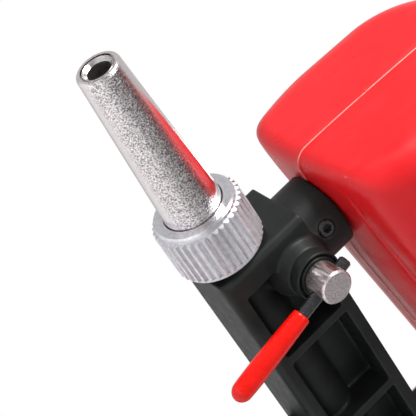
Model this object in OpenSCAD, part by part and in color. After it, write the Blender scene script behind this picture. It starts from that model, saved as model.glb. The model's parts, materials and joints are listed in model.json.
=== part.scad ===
// Hand-held sandblasting gun with a gravity-feed hopper.
// Lengths are in millimetres. The drawing axes are the nozzle's: X runs along the nozzle towards
// its tip, Z is up and zero is on the nozzle axis at the nut's front face. set_down() then moves
// everything so that the origin is the mouth of the air inlet at the foot of the grip.

/* [Nozzle and nut] */
// Length of the nozzle in front of the nut
nozzle_len = 63.5; // [50:0.5:80]
// Radius of the nozzle at its tip
nozzle_tip_r = 7.7; // [7.2:0.1:8.5]
// Radius of the nozzle where it enters the nut
nozzle_root_r = 10.64; // [10:0.02:10.7]
// Outside diameter of the knurled nut
nut_od = 32; // [31:0.5:34]
// Length of the knurled nut
nut_len = 20.5; // [20:0.5:24]
// Number of straight knurl teeth on the nut
nut_teeth = 38; // [30:1:44]

/* [Beam and grip] */
// Width of the moulded beam and grip
beam_w = 29.2; // [28.8:0.2:32]
// Height of the beam's top face above the nozzle axis
beam_top = 24.3; // [23.5:0.1:25]
// Depth of the beam's bottom face below the nozzle axis
beam_low = 11.9; // [11.5:0.1:13]
// Thickness of the beam's top and bottom flanges
flange_t = 4.5; // [3:0.5:5]
// Thickness of the ribs between the side pockets
rib_t = 3.5; // [2.5:0.5:4.5]
// Distance of the beam's rear face behind the nut's front face
beam_rear = 164; // [160:1:168]
// Length of the grip, from the beam down to the inlet
grip_len = 104; // [100:1:115]
// Angle that the grip leans back from the vertical
grip_rake = 12; // [10:1:14]

/* [Sand valve] */
// Distance of the valve and hopper neck behind the nut's front face
valve_x = 39.2; // [39:0.1:40]
// Height of the valve spindle above the nozzle axis
valve_z = 15.5; // [15.3:0.1:15.7]
// Radius of the spindle's head
spindle_head_r = 6; // [5.8:0.1:6.2]
// Angle that the lever leans back from the vertical
lever_lean = 9.6; // [5:0.1:15]
// Length of the lever, from the spindle to the end of its sleeve
lever_len = 48.9; // [40:0.1:60]

/* [Hopper] */
// Width of the hopper
hopper_w = 80; // [76:1:90]
// Distance of the hopper's front face behind the nut's front face
hopper_front = 14.8; // [14:0.1:16]
// Distance of the hopper's rear face behind the nut's front face
hopper_rear = 162; // [158:1:166]
// Height of the hopper's top above the nozzle axis
hopper_top = 127; // [120:1:132]
// Thickness of the hopper's wall
hopper_wall = 2.5; // [2:0.1:3]
// Outside diameter of the filler cap
cap_od = 56; // [54:1:60]
// Number of grip ribs around the filler cap
cap_ribs = 30; // [20:1:36]

/* [Trigger and air valve] */
// Height of the air valve's axis below the nozzle axis
air_z = 36; // [35:0.5:38]
// Distance of the trigger pin behind the nut's front face
trigger_x = 110; // [109:0.5:111]
// Depth of the trigger pin below the nozzle axis
trigger_z = 18; // [17.5:0.1:18.2]
// Number of turns in the air valve's spring
spring_turns = 6; // [4:1:7]

/* [Hidden] */
$fn = 64;

half_w = beam_w / 2;            // half of the beam's width
fit = 0.05;                     // radial clearance of a running fit
gap = 0.3;                      // clearance between pieces that must not touch
eps = 0.5;                      // overrun of a cut past the face it opens

spigot_r = 12.8;                // threaded spigot that the nut runs on
block_front = 22.4;             // front face of the beam
nozzle_seat = 8;                // front face of the spigot
chamber_r = 6;                  // mixing chamber along the nozzle axis
tube_wall_r = 8.75;             // tube that stands proud of the pockets' floor
web_t = 6;                      // thickness of the web in the middle of the beam
pocket_low = -beam_low + 5.5;   // floor of the side pockets
pocket_top = beam_top - flange_t;
rib_fronts = [64, 105.5];       // front faces of the ribs
pocket_front = 32.5;            // front wall of the first pocket
beam_edge_r = 3;                // rounding of the beam's lower and front edges

neck_r = 14.4;                  // socket for the hopper's neck
neck_top = 37.4;
neck_floor = 25.2;
outlet_r = 10;                  // hopper's neck
outlet_bore = 7;
sand_bore = 4;
boss_r = 8.7;                   // boss around the spindle
boss_face = 23.7;
spindle_r = 5;
spindle_face = 33.6;
lever_y = 28.5;
rod_r = 2.25;

riser_front = 143.7;            // upright that carries the hopper's rear lug
riser_rear = 162;
riser_half = 10;
lug_w = 8;
bolt_x = 153;
bolt_z = 34.5;
bolt_r = 3;

grip_x = 140;                   // grip axis where it crosses z = -8
grip_z = -8;
grip_d = 36;                    // grip, front to back
grip_edge_r = 9;
air_bore = 4.5;
rise_x = 138.5;                 // passage from the air valve up to the beam's tube
inlet_r = 5.75;
inlet_bore_len = 12;
inlet_x = -grip_x - sin(grip_rake) * grip_len;
inlet_z = grip_z - cos(grip_rake) * grip_len;

ear_in = 5.5;                   // ears that carry the trigger pin
ear_out = 10;
pin_r = 2;
stem_r = 2.45;
gland_face = 125.7;             // faces that the gland and the plug tighten against
plug_face = 166;

hopper_low = 37.5;              // underside of the hopper at its front
front_slope = 0.035;            // rise of the underside per millimetre, from the front to bend_x
rear_slope = 0.113;             // and from there to the rear
bend_x = 60;
front_lean = 3.2;               // lean of the hopper's front face
flat_front = 20;                // half width of the flat underside, at the front
flat_rear = 13;                 // and at the rear
fill_x = 92;
fill_r = 23;
cap_low = hopper_top + 2.6;
cap_high = hopper_top + 20;

// Moves the drawing's zero to the mouth of the air inlet.
module set_down() {
    translate([-inlet_x, 0, -inlet_z]) children();
}

// Turns a child drawn along +Z so that it runs along the nozzle axis, and puts it at x.
module along_x(x) {
    translate([x, 0, 0]) rotate([0, 90, 0]) children();
}

// Turns a child drawn along +Z so that it runs along +Y from [x, y, z].
module along_y(x, y, z) {
    translate([x, y, z]) rotate([-90, 0, 0]) children();
}

// A round ring of square section along +Z.
module ring(outer, inner, height) {
    difference() {
        cylinder(r = outer, h = height);
        translate([0, 0, -eps]) cylinder(r = inner, h = height + 2 * eps);
    }
}

// A ring of round section lying flat.
module o_ring(centre_r, wire_r) {
    rotate_extrude() translate([centre_r, 0]) circle(r = wire_r, $fn = 24);
}

// A rectangle with round corners, made only of straight and round lines.
module round_rect(size, r) {
    square([size[0] - 2 * r, size[1]], center = true);
    square([size[0], size[1] - 2 * r], center = true);
    for (sx = [-1, 1]) {
        for (sy = [-1, 1]) {
            translate([sx * (size[0] / 2 - r), sy * (size[1] / 2 - r)]) circle(r = r);
        }
    }
}

// Places a child in the grip's own axes: Z up the grip, zero where it crosses z = grip_z.
module in_grip() {
    translate([-grip_x, 0, grip_z]) rotate([0, grip_rake, 0]) children();
}

// ---------------------------------------------------------------- moulded frame

// Section of the beam across its length, with rounded lower edges.
module beam_section() {
    span = beam_top + beam_low;
    translate([0, beam_edge_r / 2 - beam_low + span / 2])
        square([beam_w, span - beam_edge_r], center = true);
    translate([0, -beam_low + beam_edge_r / 2])
        square([beam_w - 2 * beam_edge_r, beam_edge_r], center = true);
    for (side = [-1, 1]) {
        translate([side * (half_w - beam_edge_r), -beam_low + beam_edge_r]) circle(r = beam_edge_r);
    }
}

// Plan of the beam, with rounded upright edges at its front.
module beam_plan() {
    long = beam_rear - block_front - beam_edge_r;
    translate([-beam_rear, -half_w]) square([long, beam_w]);
    translate([-block_front - beam_edge_r, -half_w + beam_edge_r])
        square([beam_edge_r, beam_w - 2 * beam_edge_r]);
    for (side = [-1, 1]) {
        translate([-block_front - beam_edge_r, side * (half_w - beam_edge_r)]) circle(r = beam_edge_r);
    }
}

// Side view of the beam and riser, with the tail rounded down to the grip.
module beam_side() {
    tail_r = 16;
    translate([-beam_rear + tail_r, -beam_low]) square([beam_rear - tail_r, beam_low + beam_top]);
    translate([-beam_rear, -beam_low]) square([beam_rear, beam_low + beam_top - tail_r]);
    translate([-beam_rear + tail_r, beam_top - tail_r]) circle(r = tail_r);
}

// Solid beam before its pockets are cut.
module beam_block() {
    intersection() {
        along_x(-beam_rear) rotate([0, 0, 90]) linear_extrude(beam_rear) beam_section();
        translate([0, 0, -beam_low - 1]) linear_extrude(beam_top + beam_low + 2) beam_plan();
        translate([0, half_w + 1, 0]) rotate([90, 0, 0]) linear_extrude(beam_w + 2) beam_side();
    }
}

// Side pockets of the beam, open towards both sides and leaving the web and the round tube.
module beam_pockets() {
    fronts = [pocket_front, rib_fronts[0] + rib_t, rib_fronts[1] + rib_t];
    rears = [rib_fronts[0], rib_fronts[1], 134];
    difference() {
        for (i = [0 : 2]) {
            for (side = [-1, 1]) {
                translate([-rears[i], side > 0 ? web_t / 2 : -half_w - eps, pocket_low])
                    cube([rears[i] - fronts[i], half_w - web_t / 2 + eps, pocket_top - pocket_low]);
            }
        }
        along_x(-beam_rear) cylinder(r = tube_wall_r, h = beam_rear);
    }
}

// Boss that the valve spindle turns in, with a coned root and a grooved face.
module valve_boss() {
    along_y(-valve_x, 0, valve_z) {
        cylinder(r = boss_r, h = boss_face - 1.2);
        translate([0, 0, 11]) cylinder(r1 = boss_r + 3.2, r2 = boss_r, h = 8.5);
        translate([0, 0, boss_face - 1.3]) ring(boss_r, boss_r - 0.9, 1.3);
        translate([0, 0, boss_face - 1.3]) cylinder(r = boss_r - 1.7, h = 1.5);
    }
    along_y(-valve_x, -half_w - 0.9, valve_z) cylinder(r = boss_r, h = half_w);
}

// Upright behind the beam that carries the hopper's rear lug.
module riser() {
    top = underside(riser_front) - gap;
    difference() {
        translate([-riser_rear, -riser_half, 0])
            cube([riser_rear - riser_front, 2 * riser_half, top]);
        translate([-riser_rear - eps, -lug_w / 2 - gap, beam_top])
            cube([riser_rear - riser_front + 2 * eps, lug_w + 2 * gap, top]);
    }
}

// Grip, with shallow panels between ribs on both sides.
module grip_body() {
    panel_len = 22;
    panel_deep = 4;
    in_grip() difference() {
        translate([0, 0, -grip_len + 3.2]) linear_extrude(grip_len - 1.2)
            round_rect([grip_d, beam_w], grip_edge_r);
        for (i = [0 : 1]) {
            for (side = [-1, 1]) {
                y = side > 0 ? half_w - panel_deep : -half_w - eps;
                translate([-11, y, -66 - i * (panel_len + rib_t)])
                    cube([22, panel_deep + eps, panel_len]);
            }
        }
    }
}

// Bosses that give the air valve's gland and plug square faces on the raked grip.
module air_valve_bosses() {
    translate([0, 0, -air_z]) {
        along_x(-132) cylinder(r = 8.6, h = 132 - gland_face);
        along_x(-plug_face) cylinder(r = 11, h = plug_face - 156);
    }
}

// Ears under the beam that carry the trigger pin.
module trigger_ears() {
    for (side = [-1, 1]) {
        translate([0, side > 0 ? ear_in : -ear_out, 0]) {
            along_y(-trigger_x, 0, -trigger_z) cylinder(r = 5.8, h = ear_out - ear_in);
            translate([-trigger_x - 6.5, 0, -trigger_z]) cube([9, ear_out - ear_in, 9]);
        }
    }
}

// Everything that is bored or cut out of the frame.
module frame_bores() {
    // mouth for the nozzle's tail, then the mixing chamber, the jet's thread and the tube's bore
    along_x(-14) cylinder(r = 8.05, h = 14);
    along_x(-51) cylinder(r = chamber_r, h = 40);
    along_x(-63) cylinder(r = 5, h = 14);
    along_x(-rise_x - 3) cylinder(r = 3.05, h = rise_x - 50);
    // sand passage from the hopper's neck down to the mixing chamber
    translate([-valve_x, 0, 0]) {
        cylinder(r = sand_bore, h = neck_top);
        translate([0, 0, neck_floor - 3.4]) cylinder(r1 = sand_bore, r2 = outlet_bore, h = 3.4);
        translate([0, 0, neck_floor]) cylinder(r = outlet_r + fit, h = neck_top);
        translate([0, 0, 30]) rotate([0, 90, 74]) cylinder(r = 3, h = neck_r + 2);
    }
    // spindle
    along_y(-valve_x, -half_w - 2, valve_z) cylinder(r = spindle_r + fit, h = half_w + 2 + boss_face + 2);
    // hopper's rear bolt
    along_y(-bolt_x, -half_w - 1, bolt_z) cylinder(r = bolt_r + fit, h = beam_w + 2);
    // air valve, from the gland at the front to the plug at the back
    translate([0, 0, -air_z]) {
        along_x(-135.5) cylinder(r = 6, h = 12);
        along_x(-142) cylinder(r = 5.2, h = 8);
        along_x(-145) cylinder(r = 3.8, h = 6);
        along_x(-157) cylinder(r = 6.4, h = 13);
        along_x(-170) cylinder(r = 7.05, h = 13.5);
        along_x(-plug_face - 10) cylinder(r = 10.2, h = 10);
    }
    translate([-rise_x, 0, -air_z]) cylinder(r = 2.6, h = air_z);
    // air passage up the grip and the seat for the inlet's bushing
    in_grip() {
        translate([0, 0, -grip_len - 1]) cylinder(r = air_bore, h = grip_len - 28);
        translate([0, 0, -grip_len - 1]) cylinder(r = 8.5, h = 17);
    }
    // trigger pin
    along_y(-trigger_x, -ear_out - 1, -trigger_z) cylinder(r = pin_r + 0.02, h = 2 * ear_out + 2);
}

module frame() {
    set_down() color([0.16, 0.17, 0.17]) difference() {
        union() {
            difference() {
                beam_block();
                beam_pockets();
            }
            along_x(-block_front - 1) cylinder(r = spigot_r, h = block_front + 1 - nozzle_seat);
            translate([-valve_x, 0, beam_top - 1]) cylinder(r = neck_r, h = neck_top - beam_top + 1);
            intersection() {
                translate([-valve_x, 0, 0]) cylinder(r = 8.5, h = beam_top);
                translate([-valve_x, 0, 0]) cube([40, beam_w, 60], center = true);
            }
            valve_boss();
            riser();
            grip_body();
            air_valve_bosses();
            trigger_ears();
        }
        frame_bores();
    }
}

// ---------------------------------------------------------------- nozzle, nut and jet

module nozzle() {
    liner_r = 5.7;
    lip = 1.1;
    flange_r = 12.4;
    set_down() color([0.72, 0.7, 0.69]) along_x(0) rotate_extrude() polygon([
        [liner_r, -13.8],
        [8, -13.8],
        [8, -7.5],
        [flange_r, -7.5],
        [flange_r, -5.1],
        [nozzle_root_r, -5.1],
        [nozzle_root_r, 0],
        [nozzle_tip_r, nozzle_len - lip],
        [nozzle_tip_r - 0.25, nozzle_len - 0.4],
        [nozzle_tip_r - 0.75, nozzle_len],
        [liner_r + 0.35, nozzle_len],
        [liner_r + 0.35, nozzle_len - 2],
        [liner_r, nozzle_len - 2],
    ]);
}

module nozzle_liner() {
    outer = 5.66;
    bore = 4.2;
    set_down() color([0.6, 0.58, 0.56]) along_x(0) rotate_extrude() polygon([
        [bore, -13.8],
        [outer, -13.8],
        [outer, nozzle_len - 0.4],
        [outer - 0.15, nozzle_len - 0.2],
        [outer - 0.35, nozzle_len - 0.2],
        [bore, nozzle_len - 1.4],
    ]);
}

// Star outline of the straight knurl.
function knurl(teeth, outer, depth) = [
    for (i = [0 : teeth - 1])
        for (p = [[0, 0], [0.3, 1], [0.62, 1], [0.92, 0]])
            let (a = (i + p[0]) * 360 / teeth, r = outer - depth * (1 - p[1]))
            [r * cos(a), r * sin(a)]
];

module nozzle_nut() {
    front_r = 14.7;
    rim_r = 15.3;
    knurl_depth = 1.2;
    set_down() color([0.8, 0.8, 0.82]) along_x(0) difference() {
        union() {
            translate([0, 0, -2.1]) cylinder(r = front_r, h = 1.5);
            translate([0, 0, -0.6]) cylinder(r1 = front_r, r2 = front_r - 0.6, h = 0.6);
            intersection() {
                translate([0, 0, -nut_len + 1])
                    linear_extrude(nut_len - 3) polygon(knurl(nut_teeth, nut_od / 2, knurl_depth));
                union() {
                    translate([0, 0, -nut_len]) cylinder(r = nut_od / 2 + 1, h = nut_len - 2.8);
                    translate([0, 0, -2.9]) cylinder(r1 = nut_od / 2 + 1, r2 = front_r, h = 0.9);
                }
            }
            translate([0, 0, -nut_len]) cylinder(r = rim_r - 0.6, h = nut_len - 3);
            translate([0, 0, -nut_len]) cylinder(r = rim_r, h = 1.2);
        }
        translate([0, 0, -nut_len - eps]) cylinder(r = spigot_r + 0.08, h = nut_len - 5 + eps);
        translate([0, 0, -6]) cylinder(r = nozzle_root_r + gap, h = 8);
    }
}

module nozzle_gasket() {
    set_down() color([0.1, 0.1, 0.1]) along_x(-nozzle_seat) ring(12.4, 8.2, 0.5);
}

module air_jet() {
    orifice = 1.3;
    set_down() color([0.78, 0.62, 0.32]) along_x(0) rotate_extrude() polygon([
        [3.1, -62.5],
        [4.95, -62.5],
        [4.95, -49.2],
        [5.9, -49.2],
        [5.9, -46],
        [3.4, -44],
        [3.4, -40],
        [2.2, -33.5],
        [orifice, -33.5],
        [orifice, -42],
        [2.3, -48],
        [2.3, -53.5],
        [3.1, -53.5],
    ]);
}

module jet_seal() {
    set_down() color([0.1, 0.1, 0.1]) along_x(-51) ring(5.9, 5, 1.8);
}

module air_tube() {
    set_down() color([0.75, 0.75, 0.76]) along_x(-133) ring(3, 2.2, 79.4);
}

// ---------------------------------------------------------------- sand valve

module sand_spindle() {
    set_down() color([0.74, 0.72, 0.7]) difference() {
        along_y(-valve_x, 0, valve_z) rotate_extrude() polygon([
            [0, -18.8],
            [4.4, -18.8],
            [spindle_r, -18.2],
            [spindle_r, -17.5],
            [3.6, -17.5],
            [3.6, -16.5],
            [spindle_r, -16.5],
            [spindle_r, -10],
            [3.4, -10],
            [3.4, -8],
            [spindle_r, -8],
            [spindle_r, 8],
            [3.4, 8],
            [3.4, 10],
            [spindle_r, 10],
            [spindle_r, boss_face + 0.5],
            [spindle_head_r, boss_face + 0.5],
            [spindle_head_r, spindle_face - 0.7],
            [spindle_head_r - 0.7, spindle_face],
            [0, spindle_face],
        ]);
        translate([-valve_x, 0, valve_z]) {
            cylinder(r = sand_bore, h = 20, center = true);
            translate([0, lever_y, 0]) rotate([0, lever_lean, 0])
                cylinder(r = rod_r + fit, h = 20, center = true);
        }
    }
}

module spindle_seals() {
    set_down() color([0.1, 0.1, 0.1]) {
        for (y = [-9, 9]) {
            along_y(-valve_x, y, valve_z) o_ring(4.2, 0.78);
        }
    }
}

module spindle_washer() {
    set_down() color([0.75, 0.75, 0.76]) along_y(-valve_x, -16.4, valve_z) ring(8.2, spindle_r + 0.05, 0.8);
}

// Retaining clip, open on one side.
module clip(outer, inner, thick, mouth) {
    difference() {
        ring(outer, inner, thick);
        translate([0, -mouth / 2, -eps]) cube([outer + 1, mouth, thick + 2 * eps]);
    }
}

module spindle_clip() {
    set_down() color([0.5, 0.5, 0.52]) along_y(-valve_x, -17.4, valve_z) clip(7.2, 3.65, 0.8, 5.6);
}

// Places a child in the lever's axes: Z up the lever, zero on the spindle's axis.
module in_lever() {
    translate([-valve_x, lever_y, valve_z]) rotate([0, lever_lean, 0]) children();
}

module lever_rod() {
    top = 9.4;
    set_down() color([0.12, 0.12, 0.13]) in_lever() {
        translate([0, 0, -lever_len + 4]) cylinder(r = rod_r, h = lever_len - 4 + top - 0.6);
        translate([0, 0, top - 0.6]) cylinder(r1 = rod_r, r2 = rod_r - 0.6, h = 0.6);
    }
}

// Dipped sleeve, flattened and a little wider towards its middle, with a round end.
module lever_sleeve() {
    mouth = 13.8;
    stations = [[0, 3.05, 3.0], [0.8, 3.3, 3.15], [12, 3.9, 3.2], [22, 4.25, 3.2], [29, 4.1, 3.2]];
    set_down() color([0.9, 0.1, 0.04]) in_lever() difference() {
        hull() {
            for (s = stations) {
                translate([0, 0, -mouth - s[0]]) linear_extrude(0.01)
                    scale([s[1], s[2]]) circle(r = 1, $fn = 32);
            }
            translate([0, 0, -lever_len + 3.9]) scale([3.9, 3.1, 3.9]) sphere(r = 1, $fn = 32);
        }
        translate([0, 0, -lever_len + 3.9]) cylinder(r = rod_r + 0.01, h = lever_len);
    }
}

// ---------------------------------------------------------------- hopper and cap

// Height of the hopper's underside at distance x behind the nut.
function underside(x) =
    hopper_low + front_slope * (min(x, bend_x) - 18) + rear_slope * max(0, x - bend_x);

// Half width of the flat strip of the underside at distance x.
function flat_half(x) = x < bend_x ? flat_front : flat_rear;

// Arc of a rounded corner, from angle a0 to a1, with half axes ry and rz.
function corner(cy, cz, ry, rz, a0, a1, steps) = [
    for (i = [0 : steps]) let (a = a0 + (a1 - a0) * i / steps) [cy + ry * cos(a), cz + rz * sin(a)]
];

// Upright section of the hopper: flat strip below, full sides and a softly rounded top.
function hopper_section(half, low, top, flat) =
    let (
        ry = max(3, half - flat),
        rz = 28,
        rt = min(29, half - 6)
    ) concat(
        corner(half - ry, low + rz, ry, rz, -90, 0, 7),
        corner(half - rt, top - rt, rt, rt, 0, 90, 8),
        corner(-half + rt, top - rt, rt, rt, 90, 180, 8),
        corner(-half + ry, low + rz, ry, rz, 180, 270, 7)
    );

// How far a surface draws in at depth d behind an end that is rounded with radius r.
function draw_in(d, r) = d >= r ? 0 : r - sqrt(r * r - (r - d) * (r - d));

// One thin slice of the hopper's shape; wall is how far it lies inside the outer skin.
module hopper_slice(x, depth, lean, wall) {
    side_in = draw_in(depth, 12) + wall;
    low_in = draw_in(depth, 6) + wall;
    half = hopper_w / 2 - side_in;
    points = hopper_section(half, underside(x) + low_in, hopper_top - side_in, flat_half(x));
    translate([-x, 0, underside(x)]) rotate([0, -lean, 0]) translate([0, 0, -underside(x)])
        rotate([90, 0, 90]) linear_extrude(0.02) polygon(points);
}

// Closed shape of the hopper, drawn in by wall on every side.
module hopper_shape(wall) {
    steps = [0, 0.8, 2.6, 6, 12];
    hull() {
        for (d = steps) {
            hopper_slice(hopper_front + wall + d, d, front_lean, wall);
            hopper_slice(hopper_rear - wall - d, d, 0, wall);
        }
        hopper_slice(bend_x - 0.01, 20, 2, wall);
        hopper_slice(bend_x + 30, 20, 1, wall);
    }
}

module hopper() {
    lug_front = 145.5;
    lug_rear = 160.5;
    neck_low = neck_floor + 1;
    fill_low = hopper_top - 6;
    set_down() color([0.82, 0.1, 0.1]) difference() {
        union() {
            difference() {
                hopper_shape(0);
                hopper_shape(hopper_wall);
            }
            translate([-valve_x, 0, neck_low]) cylinder(r = outlet_r, h = underside(valve_x) + 2 - neck_low);
            translate([-fill_x, 0, fill_low]) cylinder(r = fill_r, h = cap_high - 3 - fill_low);
            translate([-lug_rear, -lug_w / 2, bolt_z - 5])
                cube([lug_rear - lug_front, lug_w, underside(lug_front) + 1.2 - bolt_z + 5]);
        }
        translate([-valve_x, 0, 0]) cylinder(r = outlet_bore, h = underside(valve_x) + 10);
        translate([-fill_x, 0, fill_low - 6]) cylinder(r = fill_r - 2.5, h = 40);
        along_y(-bolt_x, -lug_w, bolt_z) cylinder(r = bolt_r + 0.1, h = 2 * lug_w);
    }
}

module hopper_seal() {
    set_down() color([0.1, 0.1, 0.1]) translate([-valve_x, 0, neck_floor]) ring(9.9, 7.2, 0.95);
}

// Six-sided socket of the given size across its flats, cut into a screw's face.
module hex_socket(flats, deep) {
    cylinder(r = flats / sqrt(3), h = deep, $fn = 6);
}

module neck_screw() {
    set_down() color([0.14, 0.14, 0.15]) translate([-valve_x, 0, 30]) rotate([0, 90, 74]) difference() {
        union() {
            translate([0, 0, outlet_r + 0.1]) cylinder(r = 2.95, h = 3.8);
            translate([0, 0, outlet_r + 3.9]) cylinder(r1 = 2.95, r2 = 2.55, h = 0.4);
        }
        translate([0, 0, outlet_r + 1.8]) hex_socket(3, 3);
    }
}

module rear_bolt() {
    head_y = riser_half + 1;
    set_down() color([0.6, 0.6, 0.62]) along_y(-bolt_x, 0, bolt_z) difference() {
        union() {
            translate([0, 0, -riser_half - 5.2]) cylinder(r = bolt_r, h = riser_half + 5.2 + head_y);
            translate([0, 0, head_y]) cylinder(r = 5, h = 4);
            translate([0, 0, head_y + 4]) cylinder(r1 = 5, r2 = 4.5, h = 0.6);
        }
        translate([0, 0, head_y + 1.6]) hex_socket(5, 4);
    }
}

module rear_washers() {
    set_down() color([0.75, 0.75, 0.76]) {
        for (y = [-riser_half - 1, riser_half]) {
            along_y(-bolt_x, y, bolt_z) ring(6.4, bolt_r + 0.1, 1);
        }
    }
}

module rear_nut() {
    set_down() color([0.6, 0.6, 0.62]) along_y(-bolt_x, -riser_half - 4.2, bolt_z) difference() {
        rotate([0, 0, 30]) cylinder(r = 10 / sqrt(3), h = 3.2, $fn = 6);
        translate([0, 0, -eps]) cylinder(r = bolt_r + 0.02, h = 7);
    }
}

module hopper_cap() {
    wall = 2.4;
    outline = [
        for (i = [0 : cap_ribs - 1])
            for (p = [[0, 0], [0.3, 1], [0.7, 1], [1, 0]])
                let (a = (i + p[0]) * 360 / cap_ribs, r = cap_od / 2 - 1 + p[1])
                if (p[0] < 1) [r * cos(a), r * sin(a)]
    ];
    set_down() color([0.1, 0.1, 0.1]) translate([-fill_x, 0, 0]) difference() {
        union() {
            translate([0, 0, cap_low]) linear_extrude(cap_high - cap_low - 1.5) polygon(outline);
            translate([0, 0, cap_high - 1.5]) cylinder(r1 = cap_od / 2 - 1, r2 = cap_od / 2 - 3, h = 1.5);
        }
        translate([0, 0, cap_low - eps]) cylinder(r = cap_od / 2 - 1 - wall, h = 6 + eps);
        translate([0, 0, cap_low - eps]) cylinder(r = fill_r + 0.08, h = cap_high - cap_low - wall + eps);
        translate([0, 0, cap_high - 0.8]) ring(cap_od / 2 - 6, cap_od / 2 - 8, 2);
    }
}

module cap_gasket() {
    set_down() color([0.5, 0.5, 0.5]) translate([-fill_x, 0, cap_high - 2.9])
        ring(fill_r - 0.1, fill_r - 4, 0.48);
}

// ---------------------------------------------------------------- trigger and air valve

// One length of the trigger's bent lever, from [x0, z0] to [x1, z1], w wide.
module trigger_link(x0, z0, r0, x1, z1, r1, w) {
    hull() {
        along_y(x0, -w / 2, z0) cylinder(r = r0, h = w, $fn = 32);
        along_y(x1, -w / 2, z1) cylinder(r = r1, h = w, $fn = 32);
    }
}

module trigger() {
    hub_w = 2 * (ear_in - gap);
    pad_w = 19;
    pad_x = -4;
    set_down() color([0.12, 0.12, 0.12]) translate([-trigger_x, 0, -trigger_z]) difference() {
        union() {
            along_y(0, -hub_w / 2, 0) cylinder(r = 6, h = hub_w);
            trigger_link(0, 0, 5.5, 1, -20, 4.6, hub_w);
            trigger_link(1, -16, 4.4, 2.5, -36, 3.8, pad_w);
            trigger_link(2.5, -36, 3.8, 7.5, -56, 3.4, pad_w);
            trigger_link(7.5, -56, 3.4, 14, -66, 3.2, pad_w);
            translate([pad_x, -4, -25]) cube([5, 8, 14]);
        }
        along_y(0, -hub_w, 0) cylinder(r = pin_r + 0.08, h = 2 * hub_w);
    }
}

module trigger_pin() {
    long = 2 * ear_out + 3.2;
    set_down() color([0.7, 0.7, 0.72]) along_y(-trigger_x, 0, -trigger_z) rotate_extrude() polygon([
        [0, -long / 2],
        [pin_r - 0.3, -long / 2],
        [pin_r, -long / 2 + 0.3],
        [pin_r, -long / 2 + 0.7],
        [pin_r - 0.6, -long / 2 + 0.7],
        [pin_r - 0.6, -ear_out - 0.1],
        [pin_r, -ear_out - 0.1],
        [pin_r, ear_out + 0.1],
        [pin_r - 0.6, ear_out + 0.1],
        [pin_r - 0.6, long / 2 - 0.7],
        [pin_r, long / 2 - 0.7],
        [pin_r, long / 2 - 0.3],
        [pin_r - 0.3, long / 2],
        [0, long / 2],
    ]);
}

module pin_clips() {
    set_down() color([0.5, 0.5, 0.52]) {
        for (y = [-ear_out - 0.75, ear_out + 0.15]) {
            along_y(-trigger_x, y, -trigger_z) clip(3.4, 1.45, 0.6, 2.3);
        }
    }
}

module air_stem() {
    tip = -trigger_x - 4.3;
    dome_r = 3;
    dome_steps = 8;
    dome_end = asin(stem_r / dome_r);
    dome = [
        for (i = [0 : dome_steps])
            let (a = dome_end * i / dome_steps) [dome_r * sin(a), tip - dome_r + dome_r * cos(a)]
    ];
    head = [[stem_r, -145], [5, -145], [5, -149], [3.4, -149], [3.4, -151.5], [0, -151.5]];
    set_down() color([0.72, 0.72, 0.73]) translate([0, 0, -air_z]) along_x(0) rotate_extrude()
        polygon(concat(dome, head));
}

module stem_washer() {
    set_down() color([0.1, 0.1, 0.1]) translate([0, 0, -air_z]) along_x(-144.98) ring(5, stem_r + 0.02, 0.9);
}

// Coil spring of round wire, wound along +Z, as one tube swept along a helix.
module coil(turns, pitch, centre_r, wire_r) {
    steps = 24 * turns;
    sides = 8;
    points = [
        for (k = [0 : steps])
            for (j = [0 : sides - 1])
                let (a = k * 360 * turns / steps, b = j * 360 / sides, r = centre_r + wire_r * cos(b))
                [r * cos(a), r * sin(a), k * turns * pitch / steps + wire_r * sin(b)]
    ];
    skin = [
        for (k = [0 : steps - 1])
            for (j = [0 : sides - 1])
                let (n = (j + 1) % sides)
                [k * sides + j, k * sides + n, (k + 1) * sides + n, (k + 1) * sides + j]
    ];
    first = [for (j = [sides - 1 : -1 : 0]) j];
    last = [for (j = [0 : sides - 1]) steps * sides + j];
    polyhedron(points = points, faces = concat([first], skin, [last]), convexity = 10);
}

module valve_spring() {
    set_down() color([0.8, 0.8, 0.8]) translate([0, 0, -air_z]) along_x(-156.4)
        coil(spring_turns, 6.6 / spring_turns, 4.4, 0.4);
}

module valve_gland() {
    set_down() color([0.78, 0.62, 0.32]) translate([0, 0, -air_z]) along_x(-135.2) difference() {
        union() {
            cylinder(r = 5.95, h = 9.7);
            translate([0, 0, 9.7]) cylinder(r = 6.9, h = 2.4, $fn = 6);
        }
        translate([0, 0, -eps]) cylinder(r = stem_r + 0.07, h = 14);
        translate([0, 0, -eps]) cylinder(r = 4, h = 2.5);
    }
}

module gland_seal() {
    set_down() color([0.1, 0.1, 0.1]) translate([0, 0, -air_z]) along_x(-134.3) o_ring(3.25, 0.7);
}

module valve_plug() {
    set_down() color([0.78, 0.62, 0.32]) translate([0, 0, -air_z]) along_x(-157) difference() {
        union() {
            translate([0, 0, -9.6]) cylinder(r = 7, h = 9.6);
            translate([0, 0, -13.2]) cylinder(r = 9.5, h = 3.6);
            translate([0, 0, -14]) cylinder(r1 = 8.7, r2 = 9.5, h = 0.8);
        }
        translate([0, 0, -2]) cylinder(r = 5.4, h = 4);
        translate([0, 0, -14 - eps]) hex_socket(8, 5);
    }
}

module plug_seal() {
    set_down() color([0.1, 0.1, 0.1]) translate([0, 0, -air_z]) along_x(-plug_face - 0.5) ring(9, 7.1, 0.48);
}

module inlet_bushing() {
    set_down() color([0.78, 0.62, 0.32]) in_grip() difference() {
        union() {
            translate([0, 0, -grip_len + 3]) cylinder(r = 8.45, h = 12.4);
            translate([0, 0, -grip_len]) cylinder(r = 19 / sqrt(3), h = 3, $fn = 6);
        }
        translate([0, 0, -grip_len - eps]) cylinder(r = inlet_r, h = inlet_bore_len + eps);
        translate([0, 0, -grip_len]) cylinder(r = air_bore, h = 20);
    }
}

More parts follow.
